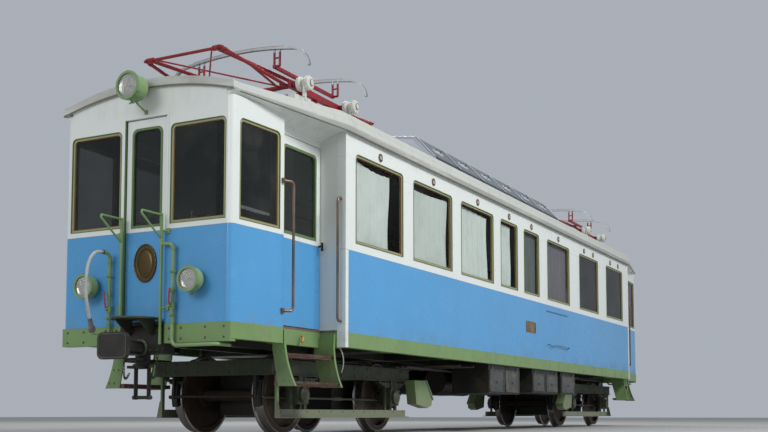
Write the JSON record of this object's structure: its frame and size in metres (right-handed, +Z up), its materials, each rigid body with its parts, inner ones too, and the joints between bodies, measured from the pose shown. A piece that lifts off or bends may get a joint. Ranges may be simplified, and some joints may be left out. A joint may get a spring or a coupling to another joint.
{
  "type": "vintage electric railcar",
  "caption": "Narrow-gauge electric railcar with a cab at each end, recessed entries with steps, motor bogies and folding pantographs.",
  "frame": {"origin": "middle of the car at the lowest point of the wheel flanges", "axes": "+Y from the front cab, the one that the picture shows, to the rear cab; +X to the side with the visible steps; +Z up"},
  "size_m": [2.66, 15.32, 4.205],
  "materials": {
    "body_paint": "worn gloss paint, blue below a pale band",
    "roof_paint": "pale grey roof paint, dusty",
    "box_paint": "grey paint, streaked",
    "solebar_paint": "faded green paint with rust and brake dust",
    "running_gear": "dark, oily and dusty",
    "wheel_steel": "rusty discs with bright treads",
    "olive_frames": "olive varnish, worn at the corners",
    "glass": "clear window glass",
    "lens_glass": "fluted lamp glass",
    "curtain_cloth": "white and blue-grey cotton",
    "bench_cover": "brown leathercloth",
    "floor_boards": "worn boards",
    "partition_wood": "varnished panelling",
    "tread_wood": "reddish-brown stained boards",
    "step_iron": "dark green paint, worn to iron",
    "rail_steel": "green paint at the ends, bronze-brown at the entries",
    "pantograph_red": "red paint, sooty",
    "insulator": "glazed white",
    "desk_paint": "dark grey enamel, pale crank handle",
    "hose_rubber": "pale grey, matt"
  },
  "bodies": {
    "car_body": {"brake_hose": "hose_rubber", "brake_pipes": "solebar_paint", "bulkheads": "partition_wood", "cab_side_panels": "body_paint", "curtains": "curtain_cloth", "draw_gear": "running_gear", "driver_controls": "desk_paint", "end_walls": "body_paint", "entry_soffits": "body_paint", "entry_steps": "solebar_paint", "floor": "floor_boards", "footplates": "step_iron", "handrails": "rail_steel", "headlamps": "solebar_paint", "hose_coupling": "running_gear", "lamp_lenses": "lens_glass", "pantograph_front_base": "pantograph_red", "pantograph_insulators": "insulator", "pantograph_rails": "roof_paint", "pantograph_rear_base": "pantograph_red", "roof": "roof_paint", "roof_resistor_box": "box_paint", "seats": "bench_cover", "side_walls": "body_paint", "step_treads": "tread_wood", "underfloor_equipment": "running_gear", "underframe": "solebar_paint", "window_frames": "olive_frames", "window_glass": "glass"},
    "bogie_front": {"bogie_front_brakes": "running_gear", "bogie_front_frame": "running_gear", "bogie_front_guards": "solebar_paint", "bogie_front_motors": "running_gear"},
    "bogie_rear": {"bogie_rear_brakes": "running_gear", "bogie_rear_frame": "running_gear", "bogie_rear_guards": "solebar_paint", "bogie_rear_motors": "running_gear"},
    "entry_door_front_left": {"entry_door_front_left": "body_paint"},
    "entry_door_front_right": {"entry_door_front_right": "body_paint"},
    "entry_door_rear_left": {"entry_door_rear_left": "body_paint"},
    "entry_door_rear_right": {"entry_door_rear_right": "body_paint"},
    "gangway_door_front": {"gangway_door_front": "body_paint"},
    "gangway_door_rear": {"gangway_door_rear": "body_paint"},
    "pantograph_front_head": {"pantograph_front_head": "pantograph_red"},
    "pantograph_front_lower_inner": {"pantograph_front_lower_inner": "pantograph_red"},
    "pantograph_front_lower_outer": {"pantograph_front_lower_outer": "pantograph_red"},
    "pantograph_front_upper_inner": {"pantograph_front_upper_inner": "pantograph_red"},
    "pantograph_front_upper_outer": {"pantograph_front_upper_outer": "pantograph_red"},
    "pantograph_rear_head": {"pantograph_rear_head": "pantograph_red"},
    "pantograph_rear_lower_inner": {"pantograph_rear_lower_inner": "pantograph_red"},
    "pantograph_rear_lower_outer": {"pantograph_rear_lower_outer": "pantograph_red"},
    "pantograph_rear_upper_inner": {"pantograph_rear_upper_inner": "pantograph_red"},
    "pantograph_rear_upper_outer": {"pantograph_rear_upper_outer": "pantograph_red"},
    "wheelset_1": {"wheelset_1": "wheel_steel"},
    "wheelset_2": {"wheelset_2": "wheel_steel"},
    "wheelset_3": {"wheelset_3": "wheel_steel"},
    "wheelset_4": {"wheelset_4": "wheel_steel"}
  },
  "joints": [
    {"name": "bogie_front_swivel", "type": "hinge", "parent": "car_body", "child": "bogie_front", "pos_m": [0, -4.6, 0.875], "axis": [0, 0, 1], "range_deg": [-4.5, 4.5]},
    {"name": "bogie_rear_swivel", "type": "hinge", "parent": "car_body", "child": "bogie_rear", "pos_m": [0, 4.6, 0.875], "axis": [0, 0, 1], "range_deg": [-4.5, 4.5]},
    {"name": "axle_1_spin", "type": "hinge", "parent": "bogie_front", "child": "wheelset_1", "pos_m": [0, -5.65, 0.437], "axis": [1, 0, 0], "continuous": true},
    {"name": "axle_2_spin", "type": "hinge", "parent": "bogie_front", "child": "wheelset_2", "pos_m": [0, -3.55, 0.437], "axis": [1, 0, 0], "continuous": true},
    {"name": "axle_3_spin", "type": "hinge", "parent": "bogie_rear", "child": "wheelset_3", "pos_m": [0, 3.55, 0.437], "axis": [1, 0, 0], "continuous": true},
    {"name": "axle_4_spin", "type": "hinge", "parent": "bogie_rear", "child": "wheelset_4", "pos_m": [0, 5.65, 0.437], "axis": [1, 0, 0], "continuous": true},
    {"name": "entry_door_front_right_hinge", "type": "hinge", "parent": "car_body", "child": "entry_door_front_right", "pos_m": [0.94, -6.438, 2], "axis": [0, 0, 1], "range_deg": [0, 90]},
    {"name": "entry_door_front_left_hinge", "type": "hinge", "parent": "car_body", "child": "entry_door_front_left", "pos_m": [-0.94, -6.438, 2], "axis": [0, 0, -1], "range_deg": [0, 90]},
    {"name": "entry_door_rear_right_hinge", "type": "hinge", "parent": "car_body", "child": "entry_door_rear_right", "pos_m": [0.94, 6.438, 2], "axis": [0, 0, -1], "range_deg": [0, 90]},
    {"name": "entry_door_rear_left_hinge", "type": "hinge", "parent": "car_body", "child": "entry_door_rear_left", "pos_m": [-0.94, 6.438, 2], "axis": [0, 0, 1], "range_deg": [0, 90]},
    {"name": "gangway_door_front_hinge", "type": "hinge", "parent": "car_body", "child": "gangway_door_front", "pos_m": [-0.252, -7.175, 2], "axis": [0, 0, 1], "range_deg": [0, 90]},
    {"name": "gangway_door_rear_hinge", "type": "hinge", "parent": "car_body", "child": "gangway_door_rear", "pos_m": [-0.252, 7.175, 2], "axis": [0, 0, -1], "range_deg": [0, 90]},
    {"name": "pantograph_front_raise", "type": "hinge", "parent": "car_body", "child": "pantograph_front_lower_outer", "pos_m": [0, -5.62, 3.77], "axis": [-1, 0, 0], "range_deg": [0, 50]},
    {"name": "pantograph_front_lower_inner_hinge", "type": "hinge", "parent": "car_body", "child": "pantograph_front_lower_inner", "pos_m": [0, -4.62, 3.77], "axis": [1, 0, 0], "range_deg": [0, 50]},
    {"name": "pantograph_front_upper_outer_knee", "type": "hinge", "parent": "pantograph_front_lower_outer", "child": "pantograph_front_upper_outer", "pos_m": [0, -6.7, 3.885], "axis": [1, 0, 0], "range_deg": [0, 95]},
    {"name": "pantograph_front_upper_inner_knee", "type": "hinge", "parent": "pantograph_front_lower_inner", "child": "pantograph_front_upper_inner", "pos_m": [0, -3.54, 3.885], "axis": [-1, 0, 0], "range_deg": [0, 95]},
    {"name": "pantograph_front_head_pivot", "type": "hinge", "parent": "pantograph_front_upper_outer", "child": "pantograph_front_head", "pos_m": [0, -5.12, 3.97], "axis": [-1, 0, 0], "range_deg": [0, 45]},
    {"name": "pantograph_rear_raise", "type": "hinge", "parent": "car_body", "child": "pantograph_rear_lower_outer", "pos_m": [0, 5.62, 3.77], "axis": [1, 0, 0], "range_deg": [0, 50]},
    {"name": "pantograph_rear_lower_inner_hinge", "type": "hinge", "parent": "car_body", "child": "pantograph_rear_lower_inner", "pos_m": [0, 4.62, 3.77], "axis": [-1, 0, 0], "range_deg": [0, 50]},
    {"name": "pantograph_rear_upper_outer_knee", "type": "hinge", "parent": "pantograph_rear_lower_outer", "child": "pantograph_rear_upper_outer", "pos_m": [0, 6.7, 3.885], "axis": [-1, 0, 0], "range_deg": [0, 95]},
    {"name": "pantograph_rear_upper_inner_knee", "type": "hinge", "parent": "pantograph_rear_lower_inner", "child": "pantograph_rear_upper_inner", "pos_m": [0, 3.54, 3.885], "axis": [1, 0, 0], "range_deg": [0, 95]},
    {"name": "pantograph_rear_head_pivot", "type": "hinge", "parent": "pantograph_rear_upper_outer", "child": "pantograph_rear_head", "pos_m": [0, 5.12, 3.97], "axis": [1, 0, 0], "range_deg": [0, 45]}
  ],
  "couplings": [
    {"joint": "pantograph_front_lower_inner_hinge", "follows": "pantograph_front_raise", "ratio": 1},
    {"joint": "pantograph_front_upper_outer_knee", "follows": "pantograph_front_raise", "ratio": 1.86},
    {"joint": "pantograph_front_upper_inner_knee", "follows": "pantograph_front_raise", "ratio": 1.86},
    {"joint": "pantograph_front_head_pivot", "follows": "pantograph_front_raise", "ratio": 0.86},
    {"joint": "pantograph_rear_lower_inner_hinge", "follows": "pantograph_rear_raise", "ratio": 1},
    {"joint": "pantograph_rear_upper_outer_knee", "follows": "pantograph_rear_raise", "ratio": 1.86},
    {"joint": "pantograph_rear_upper_inner_knee", "follows": "pantograph_rear_raise", "ratio": 1.86},
    {"joint": "pantograph_rear_head_pivot", "follows": "pantograph_rear_raise", "ratio": 0.86}
  ]
}
